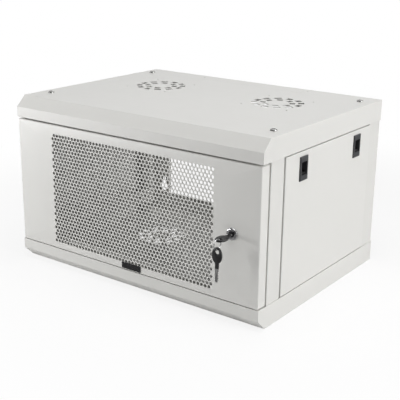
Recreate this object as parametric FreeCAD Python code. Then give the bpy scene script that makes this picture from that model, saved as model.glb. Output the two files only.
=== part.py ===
import FreeCAD, Part
import math
import os

# Wall mount network cabinet, 6 rack units, 600 wide and 450 deep. Millimetres.
# Origin: centre of the four wall keyhole mouths, on the wall side of the rear columns.
# +X to the right seen from the front, +Y into the wall, +Z up. The door faces -Y.

# Overall
RACK_UNIT = 44.45
RACK_UNITS = 6
WIDTH = 600.0
DEPTH = 450.0
LIP_HEIGHT = 42.5
NEST = 0.1                    # clearance of a column inside the covers' lips
SMALL_SIDES = 8               # small bolts and their holes are this many sided
ROUND_SIDES = 20              # larger round pieces that don't turn

# Covers
COVER_SHEET = 1.5
FASCIA_HEIGHT = 21.25
BEVEL_DEPTH = 22.0
SILL_DEPTH = 47.0
VENT_X = 150.0
VENT_FROM_FRONT = 284.0
OUTER_SLOTS = 12
INNER_SLOTS = 8
OUTER_RING = (41.5, 53.5, 15.0)       # inner and outer radius, slot width
INNER_RING = (24.0, 36.0, 13.0)
FAN_SCREW_SPACING = 105.0
FAN_SCREW_RADIUS = 2.25
CABLE_WIDTH = 260.0
CABLE_DEPTH = 42.0
CABLE_LIP = 20.0
CABLE_GAP = 0.4
CABLE_TAB = 14.0
CABLE_SCREW_RADIUS = 2.0

# Columns
COLUMN_SHEET = 1.5
COLUMN_FROM_FRONT = 27.5
COLUMN_DEPTH = 43.0
LEDGE_SET = 16.0              # panel ledge, in from the outer side
LEDGE_WIDTH = 27.0
RETURN_WIDTH = 23.0
FRONT_FACE_WIDTH = 36.0
REAR_COLUMN_DEPTH = 45.0
WALL_FLANGE = 48.0
WALL_FLANGE_LIP = 10.0
END_TAB = 2.0
KEYHOLE_FROM_SIDE = 28.0
KEYHOLE_SPACING_Z = 190.0
KEYHOLE_RISE = 14.5           # lower mouth above the lower sill
KEYHOLE_RADIUS = 10.0
KEYHOLE_SLOT_RADIUS = 5.0
KEYHOLE_LIFT = 22.0

# Bolts and screws
BOLT_FROM_SIDE = 27.0
BOLT_FROM_RETURN = 26.0
BOLT_RADIUS = 3.0
BOLT_HEAD_RADIUS = 6.5
BOLT_HEAD_HEIGHT = 3.6
BOLT_CROWN = 0.55              # top of the head, as a share of its radius
BOLT_LENGTH = 14.0
BOLT_CLEARANCE = 0.2
WELD_NUT_FLATS = 10.0
WELD_NUT_HEIGHT = 5.0
THROUGH = 1.0                 # a cutter passes a face by this much
SCREW_RADIUS = 2.5
SCREW_HEAD_RADIUS = 4.6
SCREW_HEAD_HEIGHT = 2.6

# Rack rails and their depth brackets
RAIL_SHEET = 2.0
RAIL_FROM_FRONT = 115.0
RAIL_FACE = 25.0
RAIL_FLANGE = 34.0
RAIL_SET = 34.0               # rail, in from the panel ledge: 450 between rails for 19 inch
RACK_HOLE_INSET = 7.75        # column of square holes, out from the rail's inner edge
RACK_HOLE = 9.5
RACK_HOLE_STEPS = (6.35, 22.225, 38.1)
BRACKET_SHEET = 1.5
BRACKET_HEIGHT = 30.0
BRACKET_LIP = 10.0
BRACKET_TAB = 26.0
BRACKET_FROM_SILL = 4.0
BRACKET_SLOT = 60.0
RAIL_SCREW_LENGTH = 12.0
NUT_HEIGHT = 4.0
NUT_FLATS = 8.0

# Door
DOOR_SHEET = 1.5
DOOR_DEPTH = 24.6
DOOR_SIDE_GAP = 2.0
DOOR_BOTTOM_GAP = 1.2
DOOR_TOP_GAP = 2.8
DOOR_FLANGE = 14.0
HOLE_PITCH = 28.5
HOLE_COLUMNS = 14
HOLE_ROWS = 10
HOLE_ACROSS = 19.0
HOLES_RISE = 22.0             # lowest hole row's centre above the lower sill
BADGE_WIDTH = 48.0
BADGE_HEIGHT = 13.0
BADGE_THICKNESS = 1.2
BADGE_CORNER = 1.0
BADGE_X = 5.0
BADGE_RISE = 3.2              # badge above the lower sill
PIVOT_INSET = 6.5
PIVOT_FROM_FRONT = 14.5
PIN_RADIUS = 2.5
PIN_HEAD_RADIUS = 4.5
PIN_HEAD = 3.0
PIN_REACH = 7.0
PIN_RUNNING = 0.05
BUSH_WALL = 1.2
BUSH_RUNNING = 0.3
BUSH_FLANGE_RADIUS = 5.5
BUSH_DEPTH = 5.0

# Lock and keys
LOCK_FROM_EDGE = 58.0
LOCK_FROM_SILL = 132.0
BEZEL_RADIUS = 11.5
BEZEL_PROUD = 3.0
BARREL_RADIUS = 9.5
KEYWAY_END = 1.4              # from the end of the keyway to the back of the barrel
LOCK_NUT_FLATS = 24.0
LOCK_NUT_HEIGHT = 4.0
PLUG_RADIUS = 6.0
PLUG_RUNNING = 0.05
PLUG_PROUD = 0.4
PLUG_BOSS_RADIUS = 4.0
CAM_SHEET = 2.0
CAM_WIDTH = 16.0
CAM_REACH = 44.0
CAM_BEND = 12.0
CAM_BEHIND = 1.2              # gap between the cam and the back of the column's front face
CAM_SCREW_RADIUS = 2.0
CAM_SCREW_REACH = 1.6
BLADE_WIDTH = 7.0
BLADE_THICKNESS = 2.0
BLADE_LENGTH = 26.0
BLADE_TIP = 0.5
BLADE_SLOPE = 3.0
BLADE_TANG = 6.0              # blade inside the bow
BLADE_CLEARANCE = 0.15
BOW_LENGTH = 40.0
BOW_WIDTH = 21.0
BOW_THICKNESS = 4.0
BOW_STAND_OFF = 3.0
BOW_BRIDGE = 4.0
BOW_HOLE_RADIUS = 4.5
RING_RADIUS = 10.0
RING_WIRE = 0.8
RING_CLEARANCE = 0.5
SPARE_CLEARANCE = 0.6

# Side panels and latches
PANEL_SHEET = 1.2
PANEL_SEAT = 0.5
PANEL_FRONT_GAP = 3.0
PANEL_REAR_GAP = 0.8
PANEL_BOTTOM_GAP = 1.0
PANEL_TOP_GAP = 1.8
HOOK_LENGTH = 5.0
HOOK_WIDTH = 30.0
HOOK_SET = 6.0                # hook tab, in from the outer side
HOOK_SLOT_PLAY = 1.8
LATCH_SPACING = 209.0
LATCH_DROP = 31.8
LATCH_WIDTH = 26.4
LATCH_HEIGHT = 45.4
LATCH_PROUD = 3.0
LATCH_FRAME = 1.6
LATCH_EDGE = 1.0              # chamfer round the bezel
WINDOW_WIDTH = 19.0
WINDOW_HEIGHT = 24.8
LATCH_TRAVEL = 7.0
LATCH_RUNNING = 0.3
SLIDER_THICKNESS = 2.0
TONGUE_WIDTH = 14.0
TONGUE_ROOT = 6.0
TONGUE_SET = 14.6             # back of the latch, in from the outer side
TONGUE_OFFSET = 1.0           # tongue behind the back of the latch
TONGUE_THICKNESS = 3.0
TONGUE_PLAY = 0.6             # locked tongue to the edge of the roof's side flange
FINGER_LEDGE = 4.0

# Derived planes
OPENING = RACK_UNITS * RACK_UNIT
SILL_LOW = -KEYHOLE_SPACING_Z / 2 - KEYHOLE_RISE
SILL_HIGH = SILL_LOW + OPENING
BOTTOM = SILL_LOW - LIP_HEIGHT
TOP = SILL_HIGH + LIP_HEIGHT
MIDDLE = (TOP + BOTTOM) / 2
HALF = WIDTH / 2
KEYHOLE_X = HALF - KEYHOLE_FROM_SIDE
BOLT_X = HALF - BOLT_FROM_SIDE
BACK = COVER_SHEET + NEST
FRONT = BACK - DEPTH
COLUMN_OUT = HALF - COVER_SHEET - NEST
LEDGE_X = HALF - LEDGE_SET
COLUMN_FRONT = FRONT + COLUMN_FROM_FRONT
COLUMN_STEP = COLUMN_FRONT + COLUMN_DEPTH
FRONT_RETURN = COLUMN_STEP + LEDGE_WIDTH
REAR_STEP = -REAR_COLUMN_DEPTH
REAR_RETURN = REAR_STEP - LEDGE_WIDTH
COLUMN_EDGE = COLUMN_OUT - FRONT_FACE_WIDTH
PANEL_FRONT = COLUMN_STEP + PANEL_FRONT_GAP
PANEL_BACK = REAR_STEP - PANEL_REAR_GAP
PANEL_LOW = SILL_LOW + PANEL_BOTTOM_GAP
PANEL_HIGH = SILL_HIGH - PANEL_TOP_GAP
PANEL_IN = LEDGE_X + PANEL_SEAT
DOOR_HALF = HALF - DOOR_SIDE_GAP
DOOR_LOW = SILL_LOW + DOOR_BOTTOM_GAP
DOOR_HIGH = SILL_HIGH - DOOR_TOP_GAP
DOOR_BACK = FRONT + DOOR_DEPTH
PIVOT_X = -DOOR_HALF + PIVOT_INSET
PIVOT_Y = FRONT + PIVOT_FROM_FRONT
RAIL_OUT = LEDGE_X - RAIL_SET
RACK_EDGE = RAIL_OUT - RAIL_FACE
RAIL_FRONT = FRONT + RAIL_FROM_FRONT
LOCK_X = DOOR_HALF - LOCK_FROM_EDGE
LOCK_Z = SILL_LOW + LOCK_FROM_SILL
BARREL_LENGTH = BLADE_LENGTH - BOW_STAND_OFF - BEZEL_PROUD - PLUG_PROUD + KEYWAY_END
BARREL_BACK = FRONT + BARREL_LENGTH
BOW_NEAR = FRONT - BEZEL_PROUD - PLUG_PROUD - BOW_STAND_OFF
BOW_FAR = BOW_NEAR - BOW_LENGTH
RING_Y = BOW_FAR + BOW_BRIDGE / 2
RING_Z = LOCK_Z + BOW_THICKNESS / 2 + RING_CLEARANCE + RING_WIRE - RING_RADIUS
SPARE_TOP = RING_Z - RING_RADIUS + RING_WIRE + SPARE_CLEARANCE + BOW_BRIDGE
BOLT_YS = (FRONT_RETURN - BOLT_FROM_RETURN, REAR_RETURN + BOLT_FROM_RETURN)
LATCH_Z = PANEL_HIGH - LATCH_DROP
TONGUE_IN = HALF - TONGUE_SET - TONGUE_OFFSET
FLANGE_EDGE = TONGUE_IN + TONGUE_THICKNESS + TONGUE_PLAY
LATCH_YS = [(PANEL_FRONT + PANEL_BACK) / 2 + way * LATCH_SPACING / 2 for way in (-1, 1)]

PLANES = {
    "xy": lambda a, b, c: FreeCAD.Vector(a, b, c),
    "yz": lambda a, b, c: FreeCAD.Vector(c, a, b),
    "xz": lambda a, b, c: FreeCAD.Vector(a, c, b),
}
AXES = {"x": FreeCAD.Vector(1, 0, 0), "y": FreeCAD.Vector(0, 1, 0), "z": FreeCAD.Vector(0, 0, 1)}


def box(x0, x1, y0, y1, z0, z1):
    corner = FreeCAD.Vector(min(x0, x1), min(y0, y1), min(z0, z1))
    return Part.makeBox(abs(x1 - x0), abs(y1 - y0), abs(z1 - z0), corner)


def loop(points, plane, level):
    place = PLANES[plane]
    corners = [place(a, b, level) for a, b in points]
    return Part.makePolygon(corners + corners[:1])


def prism(points, plane, low, high, holes=()):
    """A flat outline with cut-outs, given thickness from low to high across its plane."""
    wires = [loop(points, plane, low)] + [loop(hole, plane, low) for hole in holes]
    face = Part.makeFace(Part.makeCompound(wires), "Part::FaceMakerCheese")
    place = PLANES[plane]
    return face.extrude(place(0, 0, high) - place(0, 0, low))


def rectangle(a0, a1, b0, b1):
    return [(a0, b0), (a1, b0), (a1, b1), (a0, b1)]


def polygon(a, b, radius, sides, turn=0.0):
    step = 2 * math.pi / sides
    return [(a + radius * math.cos(turn + i * step), b + radius * math.sin(turn + i * step))
            for i in range(sides)]


def cylinder(radius, x, y, z, axis, length):
    """A true round bar, for what turns or is measured."""
    direction = AXES[axis] * (1 if length > 0 else -1)
    return Part.makeCylinder(radius, abs(length), FreeCAD.Vector(x, y, z), direction)


def along(axis, x, y, z):
    """Plane across an axis, and the point's two places in it and its level along it."""
    return {"x": ("yz", y, z, x), "y": ("xz", x, z, y), "z": ("xy", x, y, z)}[axis]


def bar(radius, x, y, z, axis, length, sides=SMALL_SIDES):
    """A bar of few sides, for small fasteners and their holes."""
    plane, a, b, level = along(axis, x, y, z)
    return prism(polygon(a, b, radius, sides), plane, level, level + length)


def taper(start_radius, end_radius, x, y, z, axis, length, sides=SMALL_SIDES):
    plane, a, b, level = along(axis, x, y, z)
    ends = [loop(polygon(a, b, start_radius, sides), plane, level),
            loop(polygon(a, b, end_radius, sides), plane, level + length)]
    return Part.makeLoft(ends, True, True)


def folded(points, thickness):
    """Section of a folded sheet: the points run along its outer skin, the sheet is on their left."""
    skin = [FreeCAD.Vector(a, b, 0) for a, b in points]
    runs = [(end - start).normalize() for start, end in zip(skin, skin[1:])]
    normals = [FreeCAD.Vector(-run.y, run.x, 0) for run in runs]
    inner = []
    for i, point in enumerate(skin):
        before = normals[max(i - 1, 0)]
        after = normals[min(i, len(normals) - 1)]
        mitre = before + after
        inner.append(point + mitre * (2 * thickness / mitre.dot(mitre)))
    return points + [(point.x, point.y) for point in reversed(inner)]


def fuse(solids):
    return solids[0].fuse(solids[1:]).removeSplitter()


def group(solids):
    return Part.makeCompound(solids)


def mirrored(shape, direction, level=0.0):
    return shape.mirror(AXES[direction] * level, AXES[direction])


def hexagon(a, b, flats):
    return polygon(a, b, flats / math.sqrt(3), 6)


# Covers

def vent_slots(x, y, low, high):
    slots = []
    for count, ring, turn in ((OUTER_SLOTS, OUTER_RING, 0.0), (INNER_SLOTS, INNER_RING, 0.5)):
        inner, outer, width = ring
        for i in range(count):
            slot = box(inner, outer, -width / 2, width / 2, low, high)
            slot.rotate(FreeCAD.Vector(), AXES["z"], (i + turn) * 360 / count)
            slot.translate(FreeCAD.Vector(x, y, 0))
            slots.append(slot)
    for sx in (-1, 1):
        for sy in (-1, 1):
            hole = (x + sx * FAN_SCREW_SPACING / 2, y + sy * FAN_SCREW_SPACING / 2)
            slots.append(cylinder(FAN_SCREW_RADIUS, hole[0], hole[1], low, "z", high - low))
    return slots


def hinge_bush_hole():
    radius = PIN_RADIUS + PIN_RUNNING + BUSH_WALL
    return bar(radius, PIVOT_X, PIVOT_Y, SILL_HIGH - 1, "z", COVER_SHEET + 2, ROUND_SIDES)


def cover(bolt_hole):
    """The roof: one sheet with a bevelled front, lips on all four sides and inward flanges."""
    t = COVER_SHEET
    skin = [(FRONT, SILL_HIGH), (FRONT, SILL_HIGH + FASCIA_HEIGHT), (FRONT + BEVEL_DEPTH, TOP),
            (BACK, TOP), (BACK, SILL_HIGH)]
    section = folded(list(reversed(skin)), t)
    solids = [prism(section, "yz", -HALF, HALF)]
    for side in (-1, 1):
        solids.append(prism(skin, "yz", side * HALF, side * (HALF - t)))
        flange_front = COLUMN_STEP + PANEL_FRONT_GAP
        slots = [rectangle(side * (HALF - HOOK_SET - PANEL_SHEET - HOOK_SLOT_PLAY),
                           side * (HALF - HOOK_SET + 1), y - HOOK_WIDTH / 2 - 1,
                           y + HOOK_WIDTH / 2 + 1) for y in LATCH_YS]
        flange = rectangle(side * FLANGE_EDGE, side * (HALF - t / 2), flange_front,
                           REAR_STEP - PANEL_REAR_GAP)
        solids.append(prism(flange, "xy", SILL_HIGH, SILL_HIGH + t, slots))
    notch = COLUMN_EDGE - 2
    sill = [(-HALF + t / 2, FRONT + t / 2), (HALF - t / 2, FRONT + t / 2),
            (HALF - t / 2, COLUMN_FRONT - 1), (notch, COLUMN_FRONT - 1),
            (notch, FRONT + SILL_DEPTH), (-notch, FRONT + SILL_DEPTH),
            (-notch, COLUMN_FRONT - 1), (-HALF + t / 2, COLUMN_FRONT - 1)]
    solids.append(prism(sill, "xy", SILL_HIGH, SILL_HIGH + t))
    cutters = [hinge_bush_hole()]
    for side in (-1, 1):
        cutters += vent_slots(side * VENT_X, FRONT + VENT_FROM_FRONT, TOP - t - 1, TOP + 1)
        cutters += [bolt_hole(side * BOLT_X, y) for y in BOLT_YS]
        cutters.append(cable_screw_hole(side))
    half = CABLE_WIDTH / 2
    cutters.append(box(-half, half, BACK - CABLE_DEPTH, BACK + 1, TOP - CABLE_LIP, TOP + 1))
    return fuse(solids).cut(cutters)


def cable_cover():
    """Plate that closes the cable entry: flush in its notch, with two tabs under the roof."""
    t = COVER_SHEET
    half = CABLE_WIDTH / 2 - CABLE_GAP
    front = BACK - CABLE_DEPTH + CABLE_GAP
    solids = [box(-half, half, front, BACK, TOP - t, TOP),
              box(-half, half, BACK - t, BACK, TOP - CABLE_LIP + CABLE_GAP, TOP)]
    for side in (-1, 1):
        solids.append(box(side * (half - CABLE_TAB), side * (half + CABLE_TAB), front,
                          BACK - 2 * t, TOP - 2 * t, TOP - t))
    return fuse(solids).cut([cable_screw_hole(side) for side in (-1, 1)])


def cable_screw_place(side):
    return side * (CABLE_WIDTH / 2 + CABLE_TAB / 2), BACK - CABLE_DEPTH / 2


def cable_screws():
    """Two small screws from inside, through the cable cover's tabs and into the roof."""
    inner = TOP - 2 * COVER_SHEET
    screws = []
    for side in (-1, 1):
        x, y = cable_screw_place(side)
        shank = bar(CABLE_SCREW_RADIUS, x, y, inner, "z", 2 * COVER_SHEET)
        head = bar(SCREW_HEAD_RADIUS, x, y, inner, "z", -SCREW_HEAD_HEIGHT)
        screws.append(fuse([head, shank]))
    return screws


def cable_screw_hole(side):
    x, y = cable_screw_place(side)
    return bar(CABLE_SCREW_RADIUS, x, y, TOP - 3 * COVER_SHEET, "z", 4 * COVER_SHEET)


# Columns

def keyhole(z):
    lift = KEYHOLE_LIFT
    mouth = cylinder(KEYHOLE_RADIUS, KEYHOLE_X, -2 * COLUMN_SHEET, z, "y", 3 * COLUMN_SHEET)
    neck = box(KEYHOLE_X - KEYHOLE_SLOT_RADIUS, KEYHOLE_X + KEYHOLE_SLOT_RADIUS,
               -2 * COLUMN_SHEET, COLUMN_SHEET, z, z + lift)
    seat = cylinder(KEYHOLE_SLOT_RADIUS, KEYHOLE_X, -2 * COLUMN_SHEET, z + lift, "y",
                    3 * COLUMN_SHEET)
    return [mouth, neck, seat]


def column(section, tab_front, tab_back, bolt_y):
    """A folded corner column on the right, with a bolting tab and a weld nut at each end."""
    low = BOTTOM + COVER_SHEET
    high = TOP - COVER_SHEET
    solids = [prism(folded(section, COLUMN_SHEET), "xy", low, high)]
    for end, way in ((high, -1), (low, 1)):
        tab = box(COLUMN_EDGE, LEDGE_X - COLUMN_SHEET, tab_front, tab_back, end, end + way * END_TAB)
        below = end + way * END_TAB
        nut = prism(hexagon(BOLT_X, bolt_y, WELD_NUT_FLATS), "xy", below,
                    below + way * WELD_NUT_HEIGHT)
        bore = bar(BOLT_RADIUS + BOLT_CLEARANCE, BOLT_X, bolt_y, end, "z",
                   way * (END_TAB + WELD_NUT_HEIGHT + THROUGH))
        solids.append(tab.fuse(nut).cut(bore))
    countersink = mirrored(countersunk(BOLT_X, bolt_y, BOLT_CLEARANCE), "z", MIDDLE)
    return fuse(solids).cut(countersink)


def front_column():
    section = [(COLUMN_EDGE, COLUMN_FRONT), (COLUMN_OUT, COLUMN_FRONT),
               (COLUMN_OUT, COLUMN_STEP), (LEDGE_X, COLUMN_STEP), (LEDGE_X, FRONT_RETURN),
               (LEDGE_X - RETURN_WIDTH, FRONT_RETURN)]
    return column(section, COLUMN_FRONT + COLUMN_SHEET, FRONT_RETURN - COLUMN_SHEET, BOLT_YS[0])


def rear_column():
    edge = HALF - WALL_FLANGE
    section = [(LEDGE_X - RETURN_WIDTH, REAR_RETURN), (LEDGE_X, REAR_RETURN),
               (LEDGE_X, REAR_STEP), (COLUMN_OUT, REAR_STEP), (COLUMN_OUT, 0), (edge, 0),
               (edge, -WALL_FLANGE_LIP)]
    body = column(section, REAR_RETURN + COLUMN_SHEET, -COLUMN_SHEET, BOLT_YS[1])
    cutters = []
    for way in (-1, 1):
        cutters += keyhole(way * KEYHOLE_SPACING_Z / 2)
    return body.cut(cutters)


# Bolts

def roof_bolt_hole(x, y):
    return bar(BOLT_RADIUS + BOLT_CLEARANCE, x, y, TOP - 2 * COVER_SHEET, "z", 3 * COVER_SHEET)


def roof_bolt(x, y):
    """Pan head bolt, straight down into the column's weld nut."""
    half = BOLT_HEAD_HEIGHT / 2
    rim = bar(BOLT_HEAD_RADIUS, x, y, TOP, "z", half)
    crown = taper(BOLT_HEAD_RADIUS, BOLT_HEAD_RADIUS * BOLT_CROWN, x, y, TOP + half, "z", half)
    shank = bar(BOLT_RADIUS, x, y, TOP, "z", -BOLT_LENGTH)
    return fuse([rim, crown, shank])


def countersunk(x, y, grow):
    cone = taper(BOLT_HEAD_RADIUS + grow, BOLT_RADIUS + grow, x, y, TOP, "z",
                 BOLT_RADIUS - BOLT_HEAD_RADIUS)
    return fuse([cone, bar(BOLT_RADIUS + grow, x, y, TOP, "z", -BOLT_LENGTH)])


def base_bolt_hole(x, y):
    return countersunk(x, y, BOLT_CLEARANCE)


def bolts(make):
    return [make(side * BOLT_X, y) for side in (-1, 1) for y in BOLT_YS]


# Rack rails and depth brackets, right side

def rack_rail():
    """Front mounting rail: square holes in the face, screw slots in the side flange."""
    section = [(RACK_EDGE, RAIL_FRONT), (RAIL_OUT, RAIL_FRONT), (RAIL_OUT, RAIL_FRONT + RAIL_FLANGE)]
    rail = prism(folded(section, RAIL_SHEET), "xy", SILL_LOW, SILL_HIGH)
    x = RACK_EDGE + RACK_HOLE_INSET
    half = RACK_HOLE / 2
    cutters = []
    for unit in range(RACK_UNITS):
        for step in RACK_HOLE_STEPS:
            z = SILL_LOW + unit * RACK_UNIT + step
            cutters.append(box(x - half, x + half, RAIL_FRONT - 1, RAIL_FRONT + RAIL_SHEET + 1,
                               z - half, z + half))
    for z in rail_screw_heights():
        cutters.append(bar(SCREW_RADIUS + BOLT_CLEARANCE, RAIL_OUT - 2 * RAIL_SHEET,
                           rail_screw_y(), z, "x", 3 * RAIL_SHEET))
    return rail.cut(cutters)


def rail_screw_y():
    return RAIL_FRONT + RAIL_FLANGE * 0.6


def rail_screw_heights():
    rise = BRACKET_FROM_SILL + BRACKET_HEIGHT / 2
    return SILL_LOW + rise, SILL_HIGH - rise


def depth_bracket():
    """Lower right bracket from the front column to the rear one, which carries the rail."""
    t = BRACKET_SHEET
    low = SILL_LOW + BRACKET_FROM_SILL
    high = low + BRACKET_HEIGHT
    section = [(RAIL_OUT + BRACKET_TAB, REAR_RETURN), (RAIL_OUT, REAR_RETURN),
               (RAIL_OUT, FRONT_RETURN), (RAIL_OUT + BRACKET_TAB, FRONT_RETURN)]
    web = prism(folded(list(reversed(section)), -t), "xy", low, high)
    lip = box(RAIL_OUT, RAIL_OUT + BRACKET_LIP, FRONT_RETURN + t, REAR_RETURN - t, low, low + t)
    cutters = []
    z = low + BRACKET_HEIGHT / 2
    for y in (rail_screw_y(), REAR_RETURN - BRACKET_SLOT):
        cutters.append(box(RAIL_OUT - 1, RAIL_OUT + t + 1, y - BRACKET_SLOT / 2,
                           y + BRACKET_SLOT / 2, z - SCREW_RADIUS - BOLT_CLEARANCE,
                           z + SCREW_RADIUS + BOLT_CLEARANCE))
    for x, y in bracket_screw_places():
        cutters.append(bar(SCREW_RADIUS + BOLT_CLEARANCE, x, y - 3 * t, z, "y", 6 * t))
    return fuse([web, lip]).cut(cutters)


def bracket_screw_places():
    x = RAIL_OUT + BRACKET_TAB * 0.7
    return (x, FRONT_RETURN), (x, REAR_RETURN)


def column_screw_holes(y, z):
    x = bracket_screw_places()[0][0]
    reach = 3 * COLUMN_SHEET
    return bar(SCREW_RADIUS + BOLT_CLEARANCE, x, y - reach, z, "y", 2 * reach)


def screw(head_x, head_y, z, axis, way, length):
    """Pan head screw: the head sits outside the given face and the shank runs into it."""
    shank = bar(SCREW_RADIUS, head_x, head_y, z, axis, -way * length)
    head = bar(SCREW_HEAD_RADIUS, head_x, head_y, z, axis, way * SCREW_HEAD_HEIGHT)
    return fuse([head, shank])


def bracket_screws(z):
    front, rear = bracket_screw_places()
    t = BRACKET_SHEET
    return [screw(front[0], front[1] + t, z, "y", 1, COLUMN_SHEET + t + 5),
            screw(rear[0], rear[1] - t, z, "y", -1, COLUMN_SHEET + t + 5)]


def rail_screw(z):
    return screw(RAIL_OUT - RAIL_SHEET, rail_screw_y(), z, "x", -1, RAIL_SCREW_LENGTH)


def rail_nut(z):
    outer = hexagon(rail_screw_y(), z, NUT_FLATS)
    start = RAIL_OUT + BRACKET_SHEET
    nut = prism(outer, "yz", start, start + NUT_HEIGHT)
    return nut.cut(bar(SCREW_RADIUS + NEST, start - 1, rail_screw_y(), z, "x", NUT_HEIGHT + 2))


# Door

def door_hole_places():
    """Staggered rows: every second one starts half a pitch further right."""
    row_step = HOLE_PITCH * math.sqrt(3) / 2
    first = -(HOLE_COLUMNS - 0.5) * HOLE_PITCH / 2
    for row in range(HOLE_ROWS):
        for place in range(HOLE_COLUMNS):
            x = first + (place + (row % 2) / 2) * HOLE_PITCH
            yield x, SILL_LOW + HOLES_RISE + row * row_step


def door_skin():
    """Flat front sheet with the staggered perforation and the lock's hole."""
    radius = HOLE_ACROSS / math.sqrt(3)
    holes = [polygon(x, z, radius, 6, math.pi / 6) for x, z in door_hole_places()]
    outline = rectangle(-DOOR_HALF, DOOR_HALF, DOOR_LOW, DOOR_HIGH)
    sheet = prism(outline, "xz", FRONT, FRONT + DOOR_SHEET, holes)
    return sheet.cut(bar(BARREL_RADIUS + NEST, LOCK_X, FRONT - 1, LOCK_Z, "y", DOOR_SHEET + 2,
                         ROUND_SIDES))


def door_frame():
    """Box edge welded behind the skin: four returns with a rear flange."""
    t = DOOR_SHEET
    front = FRONT + t
    outer = box(-DOOR_HALF, DOOR_HALF, front, DOOR_BACK, DOOR_LOW, DOOR_HIGH)
    hollow = box(-DOOR_HALF + t, DOOR_HALF - t, front - 1, DOOR_BACK - t, DOOR_LOW + t, DOOR_HIGH - t)
    f = DOOR_FLANGE
    mouth = box(-DOOR_HALF + f, DOOR_HALF - f, front, DOOR_BACK + 1, DOOR_LOW + f, DOOR_HIGH - f)
    pins = [bar(PIN_RADIUS + BOLT_CLEARANCE, PIVOT_X, PIVOT_Y, z, "z", 4 * t, ROUND_SIDES)
            for z in (DOOR_LOW - t, DOOR_HIGH - 3 * t)]
    return outer.cut([hollow, mouth] + pins)


def hinge_pin(door_edge, sill, way):
    """Headed steel pin through the door's edge into the sill's bush. way is 1 at the top."""
    inner = door_edge - way * DOOR_SHEET
    head = bar(PIN_HEAD_RADIUS, PIVOT_X, PIVOT_Y, inner, "z", -way * PIN_HEAD, ROUND_SIDES)
    shank = cylinder(PIN_RADIUS, PIVOT_X, PIVOT_Y, inner, "z", sill + way * PIN_REACH - inner)
    return fuse([head, shank])


def hinge_bush(door_edge, sill, way):
    """Nylon top-hat bush in the sill's hole: its flange fills most of the door's gap."""
    flange = bar(BUSH_FLANGE_RADIUS, PIVOT_X, PIVOT_Y, sill, "z",
                 door_edge + way * BUSH_RUNNING - sill, ROUND_SIDES)
    sleeve = bar(PIN_RADIUS + PIN_RUNNING + BUSH_WALL, PIVOT_X, PIVOT_Y, sill, "z",
                 way * BUSH_DEPTH, ROUND_SIDES)
    bore = cylinder(PIN_RADIUS + PIN_RUNNING, PIVOT_X, PIVOT_Y, door_edge - way * THROUGH, "z",
                    sill + way * (BUSH_DEPTH + 2 * THROUGH) - door_edge)
    return fuse([flange, sleeve]).cut(bore)


def badge_plate():
    x0 = BADGE_X - BADGE_WIDTH / 2
    low = SILL_LOW + BADGE_RISE
    plate = box(x0, x0 + BADGE_WIDTH, FRONT - BADGE_THICKNESS, FRONT, low, low + BADGE_HEIGHT)
    corners = [edge for edge in plate.Edges
               if abs(edge.Vertexes[0].Y - edge.Vertexes[1].Y) > BADGE_THICKNESS / 2]
    return plate.makeChamfer(BADGE_CORNER, corners)


# Lock and keys

def lock_housing():
    bezel = taper(BEZEL_RADIUS, BEZEL_RADIUS - BEZEL_PROUD / 2, LOCK_X, FRONT, LOCK_Z, "y",
                  -BEZEL_PROUD, ROUND_SIDES)
    barrel = bar(BARREL_RADIUS, LOCK_X, FRONT, LOCK_Z, "y", BARREL_LENGTH, ROUND_SIDES)
    bore = cylinder(PLUG_RADIUS + PLUG_RUNNING, LOCK_X, FRONT - BEZEL_PROUD - THROUGH, LOCK_Z, "y",
                    BEZEL_PROUD + BARREL_LENGTH + 2 * THROUGH)
    return fuse([bezel, barrel]).cut(bore)


def lock_nut():
    start = FRONT + DOOR_SHEET
    nut = prism(hexagon(LOCK_X, LOCK_Z, LOCK_NUT_FLATS), "xz", start, start + LOCK_NUT_HEIGHT)
    return nut.cut(bar(BARREL_RADIUS + NEST, LOCK_X, start - 1, LOCK_Z, "y",
                       LOCK_NUT_HEIGHT + 2, ROUND_SIDES))


def lock_plug():
    face = FRONT - BEZEL_PROUD - PLUG_PROUD
    plug = cylinder(PLUG_RADIUS, LOCK_X, face, LOCK_Z, "y", BARREL_BACK - face)
    boss = bar(PLUG_BOSS_RADIUS, LOCK_X, BARREL_BACK, LOCK_Z, "y", NEST + CAM_SHEET)
    half = BLADE_WIDTH / 2 + BLADE_CLEARANCE
    thin = BLADE_THICKNESS / 2 + BLADE_CLEARANCE
    keyway = box(LOCK_X - half, LOCK_X + half, face - 1, face + BLADE_LENGTH - BOW_STAND_OFF,
                 LOCK_Z - thin, LOCK_Z + thin)
    thread = bar(CAM_SCREW_RADIUS + NEST, LOCK_X, BARREL_BACK - CAM_SCREW_REACH, LOCK_Z, "y",
                 CAM_SCREW_REACH + NEST + CAM_SHEET + THROUGH)
    return fuse([plug, boss]).cut([keyway, thread])


def cam_front():
    return BARREL_BACK + NEST


def lock_cam():
    """Cranked cam, hanging down when unlocked; its tip reaches behind the column's front face."""
    tip = COLUMN_FRONT + COLUMN_SHEET + CAM_BEHIND
    hub = cam_front()
    half = CAM_WIDTH / 2
    section = [(hub, LOCK_Z + half), (hub, LOCK_Z - half), (tip, LOCK_Z - half - CAM_BEND / 2),
               (tip, LOCK_Z - CAM_REACH)]
    cam = prism(folded(section, CAM_SHEET), "yz", LOCK_X - half, LOCK_X + half)
    hole = bar(PLUG_BOSS_RADIUS + NEST, LOCK_X, hub - 1, LOCK_Z, "y", CAM_SHEET + 2)
    return cam.cut(hole)


def cam_screw():
    face = cam_front() + CAM_SHEET
    head = bar(PLUG_BOSS_RADIUS + 1.5, LOCK_X, face, LOCK_Z, "y", SCREW_HEAD_HEIGHT)
    shank = bar(CAM_SCREW_RADIUS, LOCK_X, face, LOCK_Z, "y", -(CAM_SHEET + CAM_SCREW_REACH))
    return fuse([head, shank])


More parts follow.
